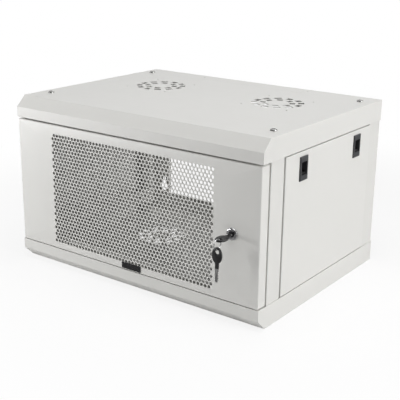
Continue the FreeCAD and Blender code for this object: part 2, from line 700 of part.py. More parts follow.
def key_blade():
    """Steel blade, laid along +Y from the bow's near end at the origin, flat in XY."""
    half = BLADE_WIDTH / 2
    tip = BLADE_LENGTH - BLADE_TIP
    bits = [(-half, -BLADE_TANG), (half, -BLADE_TANG), (half, BLADE_LENGTH - BLADE_SLOPE),
            (BLADE_TIP, tip), (-half, tip)]
    return prism(bits, "xy", -BLADE_THICKNESS / 2, BLADE_THICKNESS / 2)


def key_bow():
    """Oval plastic bow behind the blade, with a ring hole near its far end."""
    circle = polygon(0, 0, 1, ROUND_SIDES)
    oval = [(a * BOW_WIDTH / 2, (b - 1) * BOW_LENGTH / 2) for a, b in circle]
    bow = prism(oval, "xy", -BOW_THICKNESS / 2, BOW_THICKNESS / 2)
    half = BLADE_WIDTH / 2 + NEST
    thin = BLADE_THICKNESS / 2 + NEST
    socket = box(-half, half, -BLADE_TANG - NEST, THROUGH, -thin, thin)
    hole = bar(BOW_HOLE_RADIUS, 0, -BOW_LENGTH + BOW_BRIDGE + BOW_HOLE_RADIUS, -BOW_THICKNESS,
               "z", 2 * BOW_THICKNESS, ROUND_SIDES)
    return bow.cut([socket, hole])


def place_key(shape):
    shape.translate(FreeCAD.Vector(LOCK_X, BOW_NEAR, LOCK_Z))
    return shape


def place_spare(shape):
    """The spare hangs from the ring: its flat faces the front and its blade points down."""
    shape.rotate(FreeCAD.Vector(), AXES["x"], -90)
    shape.translate(FreeCAD.Vector(LOCK_X, RING_Y, SPARE_TOP - BOW_LENGTH))
    return shape


def key_ring():
    """Split ring of flat wire, hanging edge on through the bow."""
    outer = polygon(RING_Y, RING_Z, RING_RADIUS + RING_WIRE, ROUND_SIDES)
    inner = polygon(RING_Y, RING_Z, RING_RADIUS - RING_WIRE, ROUND_SIDES)
    return prism(outer, "yz", LOCK_X - RING_WIRE, LOCK_X + RING_WIRE, [inner])


# Side panels and latches, right side

def latch_opening(y, grow):
    half_y = LATCH_WIDTH / 2 - LATCH_FRAME + grow
    half_z = LATCH_HEIGHT / 2 - LATCH_FRAME + grow
    return y - half_y, y + half_y, LATCH_Z - half_z, LATCH_Z + half_z


def side_panel():
    """Folded pan with hook tabs below and two latch openings near its top edge."""
    t = PANEL_SHEET
    outer = box(PANEL_IN, HALF, PANEL_FRONT, PANEL_BACK, PANEL_LOW, PANEL_HIGH)
    hollow = box(PANEL_IN - 1, HALF - t, PANEL_FRONT + t, PANEL_BACK - t, PANEL_LOW + t,
                 PANEL_HIGH - t)
    cutters = [hollow]
    hooks = []
    for y in LATCH_YS:
        y0, y1, z0, z1 = latch_opening(y, LATCH_RUNNING)
        cutters.append(box(HALF - 2 * t, HALF + t, y0, y1, z0, z1))
        half = TONGUE_WIDTH / 2 + 1
        cutters.append(box(PANEL_IN - 1, HALF - t - 6, y - half, y + half, PANEL_HIGH - 2 * t,
                           PANEL_HIGH + t))
        hooks.append(box(HALF - HOOK_SET - t, HALF - HOOK_SET, y - HOOK_WIDTH / 2,
                         y + HOOK_WIDTH / 2, PANEL_LOW - HOOK_LENGTH, PANEL_LOW + t / 2))
    return fuse([outer.cut(cutters)] + hooks)


def latch_housing(y):
    """Moulded bezel with a finger window, and side cheeks that guide the slider."""
    half_y = LATCH_WIDTH / 2
    half_z = LATCH_HEIGHT / 2
    y0, y1, z0, z1 = latch_opening(y, 0)
    back = HALF - TONGUE_SET
    flange = box(HALF, HALF + LATCH_PROUD, y - half_y, y + half_y, LATCH_Z - half_z, LATCH_Z + half_z)
    body = box(back, HALF + 0.5, y0, y1, z0, z1)
    inside = box(back - 1, HALF - PANEL_SHEET, y0 + LATCH_FRAME, y1 - LATCH_FRAME, z0 - 1, z1 + 1)
    window = box(back - 1, HALF + LATCH_PROUD + 1, y - WINDOW_WIDTH / 2, y + WINDOW_WIDTH / 2,
                 LATCH_Z - WINDOW_HEIGHT / 2, LATCH_Z + WINDOW_HEIGHT / 2)
    flange = flange.makeChamfer(LATCH_EDGE, [edge for edge in flange.Edges
                                      if min(v.X for v in edge.Vertexes) > HALF + LATCH_PROUD / 2])
    return fuse([flange, body]).cut([inside, window])


def latch_slider(y):
    """Slider behind the window, stored released: a finger ledge and a tongue at its top."""
    y0, y1, z0, z1 = latch_opening(y, -LATCH_FRAME - LATCH_RUNNING)
    back = HALF - TONGUE_SET
    plate_front = back + SLIDER_THICKNESS
    high = PANEL_HIGH - PANEL_SHEET - LATCH_RUNNING
    shoulder = high - LATCH_TRAVEL
    plate = box(back, plate_front, y0, y1, z0, shoulder)
    ledge_top = LATCH_Z - WINDOW_HEIGHT / 2 + FINGER_LEDGE
    ledge = box(back, HALF - PANEL_SHEET + 1, y - WINDOW_WIDTH / 2 + LATCH_RUNNING,
                y + WINDOW_WIDTH / 2 - LATCH_RUNNING, ledge_top - 3, ledge_top)
    tongue = box(TONGUE_IN, TONGUE_IN + TONGUE_THICKNESS, y - TONGUE_WIDTH / 2,
                 y + TONGUE_WIDTH / 2, shoulder - TONGUE_ROOT, high)
    return fuse([plate, ledge, tongue])


def main():
    os.makedirs("parts", exist_ok=True)
    parts = {}
    parts["top_cover"] = cover(roof_bolt_hole)
    parts["bottom_cover"] = mirrored(cover(base_bolt_hole), "z", MIDDLE)
    parts["roof_cable_cover"] = cable_cover()
    parts["base_cable_cover"] = mirrored(cable_cover(), "z", MIDDLE)
    roof_screws = cable_screws()
    base_screws = [mirrored(one, "z", MIDDLE) for one in cable_screws()]
    parts["cable_cover_screws"] = group(roof_screws + base_screws)

    heights = rail_screw_heights()
    front = front_column().cut([column_screw_holes(FRONT_RETURN, z) for z in heights])
    rear = rear_column().cut([column_screw_holes(REAR_RETURN, z) for z in heights])
    lower_bracket = depth_bracket()
    sides = {
        "front_{}_column": front,
        "rear_{}_column": rear,
        "{}_rack_rail": rack_rail(),
        "lower_{}_bracket": lower_bracket,
        "upper_{}_bracket": mirrored(lower_bracket, "z", MIDDLE),
        "{}_side_panel": side_panel(),
        "front_{}_latch_housing": latch_housing(LATCH_YS[0]),
        "rear_{}_latch_housing": latch_housing(LATCH_YS[1]),
        "front_{}_latch_slider": latch_slider(LATCH_YS[0]),
        "rear_{}_latch_slider": latch_slider(LATCH_YS[1]),
    }
    for name, shape in sides.items():
        parts[name.format("right")] = shape
        parts[name.format("left")] = mirrored(shape, "x")

    parts["roof_bolts"] = group(bolts(roof_bolt))
    parts["base_bolts"] = group([mirrored(one, "z", MIDDLE)
                                 for one in bolts(lambda x, y: countersunk(x, y, 0))])
    right_screws = [one for z in heights for one in bracket_screws(z)]
    rail_fixings = [rail_screw(z) for z in heights]
    nuts = [rail_nut(z) for z in heights]
    for name, solids in (("bracket_screws", right_screws), ("rail_screws", rail_fixings),
                         ("rail_nuts", nuts)):
        parts[name] = group(solids + [mirrored(one, "x") for one in solids])

    edges = ((DOOR_HIGH, SILL_HIGH, 1), (DOOR_LOW, SILL_LOW, -1))
    parts["door_skin"] = door_skin()
    parts["door_frame"] = door_frame()
    parts["badge_plate"] = badge_plate()
    parts["hinge_pins"] = group([hinge_pin(*edge) for edge in edges])
    parts["hinge_bushes"] = group([hinge_bush(*edge) for edge in edges])
    parts["lock_housing"] = lock_housing()
    parts["lock_nut"] = lock_nut()
    parts["lock_plug"] = lock_plug()
    parts["lock_cam"] = lock_cam()
    parts["cam_screw"] = cam_screw()
    parts["key_blade"] = place_key(key_blade())
    parts["key_bow"] = place_key(key_bow())
    parts["key_ring"] = key_ring()
    parts["spare_key_blade"] = place_spare(key_blade())
    parts["spare_key_bow"] = place_spare(key_bow())

    for name, shape in parts.items():
        shape.exportStep("parts/" + name + ".step")


main()
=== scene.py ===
# A wall mount network cabinet: six rack units, a perforated lockable door in front,
# lift-off side panels with slide latches, and an open back that hangs on the wall.
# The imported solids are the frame; every position below is read from them. Metres.
import math

import bmesh
import bpy
from mathutils import Matrix, Vector


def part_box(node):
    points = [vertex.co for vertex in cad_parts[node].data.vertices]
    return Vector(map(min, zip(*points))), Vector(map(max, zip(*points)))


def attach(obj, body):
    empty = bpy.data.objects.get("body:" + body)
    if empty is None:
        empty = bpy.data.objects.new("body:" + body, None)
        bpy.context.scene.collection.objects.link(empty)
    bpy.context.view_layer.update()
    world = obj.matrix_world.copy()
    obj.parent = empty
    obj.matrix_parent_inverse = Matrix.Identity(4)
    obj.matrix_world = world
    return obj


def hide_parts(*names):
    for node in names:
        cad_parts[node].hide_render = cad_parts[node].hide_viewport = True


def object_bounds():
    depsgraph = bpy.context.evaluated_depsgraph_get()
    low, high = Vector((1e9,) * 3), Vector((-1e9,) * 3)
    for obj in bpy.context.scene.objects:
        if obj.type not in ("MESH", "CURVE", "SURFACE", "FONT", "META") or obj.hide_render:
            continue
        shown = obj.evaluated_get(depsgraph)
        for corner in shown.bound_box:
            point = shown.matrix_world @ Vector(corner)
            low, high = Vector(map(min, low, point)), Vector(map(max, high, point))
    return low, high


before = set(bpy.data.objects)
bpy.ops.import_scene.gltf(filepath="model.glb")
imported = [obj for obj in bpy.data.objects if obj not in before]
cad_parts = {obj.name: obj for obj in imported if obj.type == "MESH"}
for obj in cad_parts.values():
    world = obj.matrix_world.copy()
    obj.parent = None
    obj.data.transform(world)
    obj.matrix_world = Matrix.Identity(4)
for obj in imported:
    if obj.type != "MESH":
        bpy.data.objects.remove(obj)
solids_low, solids_high = [Vector(corner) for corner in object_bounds()]


# Camera
# A studio view from the front right and a little above, on a long lens.
camera = bpy.data.objects.new("camera", bpy.data.cameras.new("camera"))
camera.data.lens = 76.2
camera.data.sensor_width = 36.0
camera_azimuth = math.radians(36.35)
camera_height = math.radians(17.94)
camera_roll = math.radians(0.68)
away = Vector((math.sin(camera_azimuth) * math.cos(camera_height),
               -math.cos(camera_azimuth) * math.cos(camera_height), math.sin(camera_height)))
level_right = (-away).cross(Vector((0, 0, 1))).normalized()
level_up = level_right.cross(-away)
camera_right = math.cos(camera_roll) * level_right + math.sin(camera_roll) * level_up
camera_up = -math.sin(camera_roll) * level_right + math.cos(camera_roll) * level_up
stand = Matrix((camera_right, camera_up, away)).transposed().to_4x4()
stand.translation = Vector((1.0194, -1.6035, 0.5351))
camera.matrix_world = stand
bpy.context.scene.collection.objects.link(camera)
bpy.context.scene.camera = camera
bpy.context.scene.view_settings.view_transform = "Standard"


# Studio
# A pale floor that runs out into a white surround, and four soft lamps: a low strip and
# a small lamp on the left of the front, a large one on the right side and one overhead.
def tree_of(owner):
    owner.use_nodes = True
    owner.node_tree.nodes.clear()
    return owner.node_tree


def add(tree, kind, **values):
    """A node with its settings (lower case) and its inputs (by socket name)."""
    node = tree.nodes.new(kind)
    for name, value in values.items():
        if hasattr(node, name):
            setattr(node, name, value)
        else:
            node.inputs[name.replace("_", " ")].default_value = value
    return node


def seen_white(tree):
    """1 where the camera looks, or a mirror or glass shows it, and 0 for the lighting."""
    path = add(tree, "ShaderNodeLightPath")
    either = add(tree, "ShaderNodeMath", operation="MAXIMUM")
    both = add(tree, "ShaderNodeMath", operation="MAXIMUM")
    tree.links.new(path.outputs["Is Camera Ray"], either.inputs[0])
    tree.links.new(path.outputs["Is Glossy Ray"], either.inputs[1])
    tree.links.new(either.outputs[0], both.inputs[0])
    tree.links.new(path.outputs["Is Transmission Ray"], both.inputs[1])
    return both.outputs[0]


# The front of the surround lights the cabinet more than the back does, and is dim in mirrors.
world = bpy.data.worlds.new("surround")
bpy.context.scene.world = world
tree = tree_of(world)
facing = add(tree, "ShaderNodeTexCoord")
parts = add(tree, "ShaderNodeSeparateXYZ")
ambient = add(tree, "ShaderNodeMapRange", From_Min=-0.25, From_Max=0.25, To_Min=0.16,
              To_Max=0.04)
in_mirrors = add(tree, "ShaderNodeMapRange", From_Min=-0.35, From_Max=0.05, To_Min=0.12,
                 To_Max=1.0)
path = add(tree, "ShaderNodeLightPath")
mirrored = add(tree, "ShaderNodeMix", data_type="FLOAT")
shown = add(tree, "ShaderNodeMix", data_type="FLOAT")
seen = add(tree, "ShaderNodeMath", operation="MAXIMUM")
surround = add(tree, "ShaderNodeBackground", Color=(1, 1, 1, 1))
out = add(tree, "ShaderNodeOutputWorld")
link = tree.links.new
link(facing.outputs["Generated"], parts.inputs[0])
link(parts.outputs["Y"], ambient.inputs["Value"])
link(parts.outputs["Y"], in_mirrors.inputs["Value"])
link(path.outputs["Is Glossy Ray"], mirrored.inputs["Factor"])
link(ambient.outputs[0], mirrored.inputs["A"])
link(in_mirrors.outputs[0], mirrored.inputs["B"])
link(path.outputs["Is Camera Ray"], seen.inputs[0])
link(path.outputs["Is Transmission Ray"], seen.inputs[1])
link(seen.outputs[0], shown.inputs["Factor"])
link(mirrored.outputs[0], shown.inputs["A"])
shown.inputs["B"].default_value = 1.0
link(shown.outputs[0], surround.inputs["Strength"])
link(surround.outputs[0], out.inputs[0])

floor_radius, floor_gap = 6.0, 0.0005
glow_near, glow_in_mirrors = 0.82, 0.22
floor_mesh = bpy.data.meshes.new("floor")
bm = bmesh.new()
bmesh.ops.create_circle(bm, cap_ends=True, segments=96, radius=floor_radius,
                        matrix=Matrix.Translation((0, 0, solids_low.z - floor_gap)))
bm.to_mesh(floor_mesh)
bm.free()
floor = bpy.data.objects.new("floor", floor_mesh)
bpy.context.scene.collection.objects.link(floor)
floor_paper = bpy.data.materials.new("floor_paper")
tree = tree_of(floor_paper)
where = add(tree, "ShaderNodeTexCoord")
reach = add(tree, "ShaderNodeVectorMath", operation="LENGTH")
fade = add(tree, "ShaderNodeMapRange", interpolation_type="SMOOTHSTEP", From_Min=0.45, From_Max=1.1)
lit = add(tree, "ShaderNodeMath", operation="MULTIPLY")
near_white = add(tree, "ShaderNodeMath", operation="MULTIPLY_ADD")
near_white.inputs[1].default_value = 1 - glow_near
near_white.inputs[2].default_value = glow_near
paper = add(tree, "ShaderNodeBsdfDiffuse", Color=(0.93, 0.93, 0.93, 1))
glow = add(tree, "ShaderNodeEmission", Color=(1, 1, 1, 1))
blend = add(tree, "ShaderNodeMixShader")
out = add(tree, "ShaderNodeOutputMaterial")
tree.links.new(where.outputs["Object"], reach.inputs[0])
tree.links.new(reach.outputs["Value"], fade.inputs["Value"])
tree.links.new(fade.outputs[0], near_white.inputs[0])
tree.links.new(near_white.outputs[0], lit.inputs[0])
tree.links.new(seen_white(tree), lit.inputs[1])
floor_path = add(tree, "ShaderNodeLightPath")
dim_in_mirrors = add(tree, "ShaderNodeMath", operation="MULTIPLY_ADD")
dim_in_mirrors.inputs[1].default_value = glow_in_mirrors - 1
dim_in_mirrors.inputs[2].default_value = 1.0
tree.links.new(floor_path.outputs["Is Glossy Ray"], dim_in_mirrors.inputs[0])
tree.links.new(dim_in_mirrors.outputs[0], glow.inputs["Strength"])
tree.links.new(lit.outputs[0], blend.inputs[0])
tree.links.new(paper.outputs[0], blend.inputs[1])
tree.links.new(glow.outputs[0], blend.inputs[2])
tree.links.new(blend.outputs[0], out.inputs[0])
floor.data.materials.append(floor_paper)


def softbox(name, place, width, height, power):
    """A rectangular lamp aimed at the cabinet."""
    lamp = bpy.data.lights.new(name, "AREA")
    lamp.shape = "RECTANGLE"
    lamp.size = width
    lamp.size_y = height
    lamp.energy = power
    holder = bpy.data.objects.new(name, lamp)
    holder.location = place
    aim = Vector((0, -0.2, 0)) - Vector(place)
    holder.rotation_euler = aim.to_track_quat("-Z", "Y").to_euler()
    bpy.context.scene.collection.objects.link(holder)


softbox("left_lamp", (-1.45, -1.2, 0.02), 1.2, 0.32, 8.4)
softbox("front_lamp", (-0.95, -1.6, 0.2), 0.2, 0.2, 4.6)
softbox("side_lamp", (2.8, 0.2, 0.6), 1.8, 1.8, 51.0)
softbox("top_lamp", (0.4, -0.5, 2.5), 2.0, 2.0, 44.0)


# Roof and base
# Each is one 1.5 mm steel sheet with a bevelled front and folded lips, punched with two
# fan grilles and a cable entry, then powder coated light grey with a fine orange peel.
def output_socket(group, name, kind):
    group.interface.new_socket(name, in_out="OUTPUT", socket_type=kind)


def input_socket(group, name, kind, value):
    socket = group.interface.new_socket(name, in_out="INPUT", socket_type=kind)
    socket.default_value = value


def surface_group(name, colour_name, colour, **numbers):
    """A group that takes a colour and numbers, and puts out a colour, roughness and height."""
    group = bpy.data.node_groups.new(name, "ShaderNodeTree")
    input_socket(group, colour_name, "NodeSocketColor", (*colour, 1))
    for number, value in numbers.items():
        input_socket(group, number.replace("_", " "), "NodeSocketFloat", value)
    output_socket(group, colour_name, "NodeSocketColor")
    output_socket(group, "Roughness", "NodeSocketFloat")
    output_socket(group, "Height", "NodeSocketFloat")
    place = add(group, "ShaderNodeTexCoord").outputs["Object"]
    return group, add(group, "NodeGroupInput"), add(group, "NodeGroupOutput"), place


def surfaced(name, group, settings, relief, depth, **shader_values):
    """A material that shows one surface group."""
    material = bpy.data.materials.new(name)
    tree = tree_of(material)
    surface = add(tree, "ShaderNodeGroup", node_tree=group)
    for socket, value in settings.items():
        surface.inputs[socket].default_value = value
    bump = add(tree, "ShaderNodeBump", Strength=relief, Distance=depth)
    shader = add(tree, "ShaderNodeBsdfPrincipled", **shader_values)
    out = add(tree, "ShaderNodeOutputMaterial")
    tree.links.new(surface.outputs[0], shader.inputs["Base Color"])
    tree.links.new(surface.outputs["Roughness"], shader.inputs["Roughness"])
    tree.links.new(surface.outputs["Height"], bump.inputs["Height"])
    tree.links.new(bump.outputs[0], shader.inputs["Normal"])
    tree.links.new(shader.outputs[0], out.inputs[0])
    return material


def powder_coat_group():
    """Baked powder paint: orange peel, a faint cloudiness, and painted shade in the fine grain's
    hollows with a painted highlight on its crests.
    """
    group, given, result, place = surface_group(
        "powder_coat", "Paint", (0.7, 0.7, 0.68), Peel_size=900.0, Cloud_depth=0.02, Gloss=0.38)
    link = group.links.new
    peel = add(group, "ShaderNodeTexNoise", Detail=2.0, Roughness=0.5)
    link(place, peel.inputs["Vector"])
    link(given.outputs["Peel size"], peel.inputs["Scale"])
    grain = add(group, "ShaderNodeTexNoise", Scale=3200.0, Detail=1.0)
    link(place, grain.inputs["Vector"])
    height = add(group, "ShaderNodeMath", operation="MULTIPLY_ADD")
    height.inputs[1].default_value = 0.25
    link(grain.outputs[0], height.inputs[0])
    link(peel.outputs[0], height.inputs[2])
    link(height.outputs[0], result.inputs["Height"])
    cloud = add(group, "ShaderNodeTexNoise", Scale=9.0, Detail=4.0)
    link(place, cloud.inputs["Vector"])
    centred = add(group, "ShaderNodeMath", operation="SUBTRACT")
    centred.inputs[1].default_value = 0.5
    link(cloud.outputs[0], centred.inputs[0])
    depth = add(group, "ShaderNodeMath", operation="MULTIPLY_ADD")
    depth.inputs[2].default_value = 1.0
    link(centred.outputs[0], depth.inputs[0])
    link(given.outputs["Cloud depth"], depth.inputs[1])
    # The fine grain's colour is painted light: darker where the grain sinks, as painted shade, and
    # lighter where it rises, as a painted highlight.
    painted_grain_shade = add(group, "ShaderNodeMapRange", From_Min=0.3, From_Max=0.7, To_Min=0.985, To_Max=1.012)
    link(grain.outputs[0], painted_grain_shade.inputs["Value"])
    shade = add(group, "ShaderNodeMath", operation="MULTIPLY")
    link(depth.outputs[0], shade.inputs[0])
    link(painted_grain_shade.outputs[0], shade.inputs[1])
    paint = add(group, "ShaderNodeVectorMath", operation="SCALE")
    link(given.outputs["Paint"], paint.inputs[0])
    link(shade.outputs[0], paint.inputs["Scale"])
    link(paint.outputs[0], result.inputs["Paint"])
    smear = add(group, "ShaderNodeTexNoise", Scale=24.0, Detail=3.0, Distortion=0.6)
    link(place, smear.inputs["Vector"])
    rough = add(group, "ShaderNodeMapRange", To_Min=-0.06, To_Max=0.06)
    link(smear.outputs[0], rough.inputs["Value"])
    total = add(group, "ShaderNodeMath", operation="ADD")
    link(rough.outputs[0], total.inputs[0])
    link(given.outputs["Gloss"], total.inputs[1])
    link(total.outputs[0], result.inputs["Roughness"])
    return group


powder_coat = powder_coat_group()


def painted(name, colour, gloss=0.38):
    return surfaced(name, powder_coat, {"Paint": (*colour, 1), "Gloss": gloss}, 0.10, 0.0002,
                    IOR=1.5)


def face_width(face):
    return face.calc_area() / (sum(edge.calc_length() for edge in face.edges) / 2)


def finished_mesh(piece):
    """Applies a piece's modifiers, so that only a plain mesh is left."""
    graph = bpy.context.evaluated_depsgraph_get()
    mesh = bpy.data.meshes.new_from_object(piece.evaluated_get(graph))
    piece.modifiers.clear()
    piece.data = mesh
    return piece


def new_piece(name, bm, material=None):
    mesh = bpy.data.meshes.new(name)
    bm.to_mesh(mesh)
    bm.free()
    piece = bpy.data.objects.new(name, mesh)
    bpy.context.scene.collection.objects.link(piece)
    if material:
        mesh.materials.append(material)
    return piece


def folded_copy(node, name, material, bend, rim, sheet=0.0021, segments=3):
    """The folded sheet with its bends rounded by one radius and its cut rims eased by another."""
    bm = bmesh.new()
    bm.from_mesh(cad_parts[node].data)
    bmesh.ops.remove_doubles(bm, verts=bm.verts, dist=1e-6)
    bmesh.ops.dissolve_limit(bm, angle_limit=math.radians(1.0), verts=bm.verts, edges=bm.edges)
    sharp = math.radians(20)
    weight = bm.edges.layers.float.new("bevel_weight_edge")
    for edge in bm.edges:
        if len(edge.link_faces) == 2 and edge.is_convex and edge.calc_face_angle(0) > sharp:
            thin = min(face_width(face) for face in edge.link_faces) < sheet
            edge[weight] = rim / bend if thin else 1.0
    piece = new_piece(name, bm, material)
    rounding = piece.modifiers.new("rounding", "BEVEL")
    rounding.limit_method = "WEIGHT"
    rounding.width = bend
    rounding.segments = segments
    rounding.use_clamp_overlap = True
    rounding.harden_normals = True
    return finished_mesh(piece)


def mount(piece, body, slot, *nodes):
    """The piece rides on its body and stands for its solids; its slot is not used."""
    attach(piece, body)
    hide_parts(*nodes)
    return piece


cover_paint = painted("cover_paint", (0.72, 0.715, 0.69))
for node in ("top_cover", "bottom_cover"):
    mount(folded_copy(node, node + "_sheet", cover_paint, 0.0012, 0.0003), "cabinet",
          "cover_paint", node)


# Cable entry covers
# Small folded plates of the same sheet that close the cable entries, held from inside by
# two screws each; one is taken off where cables come in.
for node in ("roof_cable_cover", "base_cable_cover"):
    mount(folded_copy(node, node + "_plate", cover_paint, 0.0012, 0.0002), "cabinet",
          "cover_paint", node)


# Corner columns
# Four folded steel posts between roof and base, with a ledge that the side panels seat
# against; the rear two have the keyholes that hang the cabinet on the wall.
frame_paint = painted("frame_paint", (0.70, 0.695, 0.67), gloss=0.42)
for node in ("front_left_column", "front_right_column", "rear_left_column", "rear_right_column"):
    mount(folded_copy(node, node + "_post", frame_paint, 0.0012, 0.00025), "cabinet",
          "frame_paint", node)


# Roof and base bolts
# Plated pan head bolts hold the roof to the posts, and countersunk ones hold the base;
# each is cold headed with a cross recess.
def turned(bm, profile, segments=40):
    """Spins (radius, height) pairs round Z. A radius of 0 closes the shape."""
    rings = []
    for radius, height in profile:
        count = segments if radius > 0 else 1
        rings.append([bm.verts.new((radius * math.cos(math.tau * i / segments),
                                    radius * math.sin(math.tau * i / segments), height))
                      for i in range(count)])
    for lower, upper in zip(rings, rings[1:]):
        for i in range(segments):
            corners = (lower[i % len(lower)], lower[(i + 1) % len(lower)],
                       upper[(i + 1) % len(upper)], upper[i % len(upper)])
            different = list(dict.fromkeys(corners))
            if len(different) > 2:
                bm.faces.new(different)
    bmesh.ops.recalc_face_normals(bm, faces=bm.faces)
    return bm


def smooth(piece, angle=35):
    piece.data.shade_smooth()
    piece.data.set_sharp_from_angle(angle=math.radians(angle))
    return piece


def tapered_block(bm, long_half, short_half, taper, top, bottom):
    """Cuts a slot along X that narrows as it goes down: a keyway, or an arm of a cross recess."""
    ends = []
    for level, scale in ((top, 1.0), (bottom, taper)):
        a, b = long_half * scale, short_half
        ends.append([bm.verts.new((x, y, level)) for x, y in ((-a, -b), (a, -b), (a, b), (-a, b))])
    for i in range(4):
        bm.faces.new((ends[1][i], ends[1][(i + 1) % 4], ends[0][(i + 1) % 4], ends[0][i]))
    bm.faces.new(ends[0])
    bm.faces.new(list(reversed(ends[1])))
    bmesh.ops.recalc_face_normals(bm, faces=bm.faces)


def cut_by(piece, cutter):
    boolean = piece.modifiers.new("cut", "BOOLEAN")
    boolean.operation = "DIFFERENCE"
    boolean.solver = "EXACT"
    boolean.object = cutter
    finished_mesh(piece)
    bpy.data.objects.remove(cutter)
    return piece


def cross_headed(name, profile, reach, depth, top):
    """A turned screw with a cross recess in its head."""
    head = new_piece(name, turned(bmesh.new(), profile, 28))
    for turn in (0, math.pi / 2):
        bm = bmesh.new()
        tapered_block(bm, reach, reach * 0.24, 0.45, top + 0.0005, top - depth)
        bmesh.ops.rotate(bm, verts=bm.verts, matrix=Matrix.Rotation(turn, 3, "Z"))
        cut_by(head, new_piece("recess", bm))
    return smooth(head)


def solid_boxes(node):
    """The lowest and highest corner of each separate solid in a node."""
    bm = bmesh.new()
    bm.from_mesh(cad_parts[node].data)
    bmesh.ops.remove_doubles(bm, verts=bm.verts, dist=1e-6)
    seen, boxes = set(), []
    for start in bm.verts:
        if start in seen:
            continue
        seen.add(start)
        solid = [start]
        for vert in solid:
            for edge in vert.link_edges:
                other = edge.other_vert(vert)
                if other not in seen:
                    seen.add(other)
                    solid.append(other)
        boxes.append((Vector([min(v.co[k] for v in solid) for k in range(3)]),
                      Vector([max(v.co[k] for v in solid) for k in range(3)])))
    bm.free()
    return boxes


def fixing_tree():
    """Sets one head on every point, aimed along the point's own direction."""
    tree = bpy.data.node_groups.new("fixings", "GeometryNodeTree")
    tree.interface.new_socket("Geometry", in_out="INPUT", socket_type="NodeSocketGeometry")
    tree.interface.new_socket("Head", in_out="INPUT", socket_type="NodeSocketObject")
    tree.interface.new_socket("Finish", in_out="INPUT", socket_type="NodeSocketMaterial")
    output_socket(tree, "Geometry", "NodeSocketGeometry")
    given, result = add(tree, "NodeGroupInput"), add(tree, "NodeGroupOutput")
    head = add(tree, "GeometryNodeObjectInfo")
    aim = add(tree, "GeometryNodeInputNamedAttribute", data_type="FLOAT_VECTOR")
    aim.inputs["Name"].default_value = "aim"
    turn = add(tree, "FunctionNodeAlignRotationToVector", axis="Z")
    place = add(tree, "GeometryNodeInstanceOnPoints")
    real = add(tree, "GeometryNodeRealizeInstances")
    finish = add(tree, "GeometryNodeSetMaterial")
    link = tree.links.new
    link(given.outputs["Head"], head.inputs["Object"])
    link(given.outputs["Geometry"], place.inputs["Points"])
    link(head.outputs["Geometry"], place.inputs["Instance"])
    link(aim.outputs["Attribute"], turn.inputs["Vector"])
    link(turn.outputs["Rotation"], place.inputs["Rotation"])
    link(place.outputs[0], real.inputs[0])
    link(real.outputs[0], finish.inputs["Geometry"])
    link(given.outputs["Finish"], finish.inputs["Material"])
    link(finish.outputs[0], result.inputs[0])
    return tree


fixings = fixing_tree()


def nodes_modifier(piece, tree, values):
    """Runs a tree on the piece, with its inputs set by identifier before it is evaluated."""
    modifier = piece.modifiers.new(tree.name, "NODES")
    modifier.node_group = tree
    for item in tree.interface.items_tree:
        if item.name in values and item.in_out == "INPUT":
            modifier[item.identifier] = values[item.name]
    return finished_mesh(piece)


def set_fixings(name, head, places, material):
    """places are (point, aim) pairs, one for each solid of the node."""
    mesh = bpy.data.meshes.new(name)
    mesh.from_pydata([tuple(point) for point, _ in places], [], [])
    aims = mesh.attributes.new("aim", "FLOAT_VECTOR", "POINT")
    for item, (_, aim) in zip(aims.data, places):
        item.vector = aim
    piece = bpy.data.objects.new(name, mesh)
    bpy.context.scene.collection.objects.link(piece)
    nodes_modifier(piece, fixings, {"Head": head, "Finish": material})
    bpy.data.objects.remove(head)
    return smooth(piece)


def plated_group():
    """Plated or bare metal: fine draw lines, cloudy lustre and small stains."""
    group, given, result, place = surface_group(
        "plated_metal", "Metal", (0.6, 0.6, 0.6), Polish=0.25, Line_size=2500.0)
    link = group.links.new
    drawn = add(group, "ShaderNodeMapping")
    drawn.inputs["Scale"].default_value = (1.0, 0.12, 1.0)
    link(place, drawn.inputs["Vector"])
    lines = add(group, "ShaderNodeTexNoise", Detail=3.0)
    link(drawn.outputs[0], lines.inputs["Vector"])
    link(given.outputs["Line size"], lines.inputs["Scale"])
    link(lines.outputs[0], result.inputs["Height"])
    lustre = add(group, "ShaderNodeTexNoise", Scale=180.0, Detail=4.0, Distortion=0.4)
    link(place, lustre.inputs["Vector"])
    shade = add(group, "ShaderNodeMapRange", From_Min=0.3, From_Max=0.7, To_Min=0.88, To_Max=1.04)
    link(lustre.outputs[0], shade.inputs["Value"])
    metal = add(group, "ShaderNodeVectorMath", operation="SCALE")
    link(given.outputs["Metal"], metal.inputs[0])
    link(shade.outputs[0], metal.inputs["Scale"])
    link(metal.outputs[0], result.inputs["Metal"])
    spread = add(group, "ShaderNodeMapRange", To_Min=-0.07, To_Max=0.09)
    link(lustre.outputs[0], spread.inputs["Value"])
    total = add(group, "ShaderNodeMath", operation="ADD", use_clamp=True)
    link(spread.outputs[0], total.inputs[0])
    link(given.outputs["Polish"], total.inputs[1])
    link(total.outputs[0], result.inputs["Roughness"])
    return group


plated_metal = plated_group()


def plated(name, colour, polish, relief=0.08):
    """Edges seen at a low angle stay grey, as worn plating does."""
    return surfaced(name, plated_metal, {"Metal": (*colour, 1), "Polish": polish}, relief, 0.0001,
                    Metallic=1.0, Specular_Tint=(0.55, 0.55, 0.55, 1))


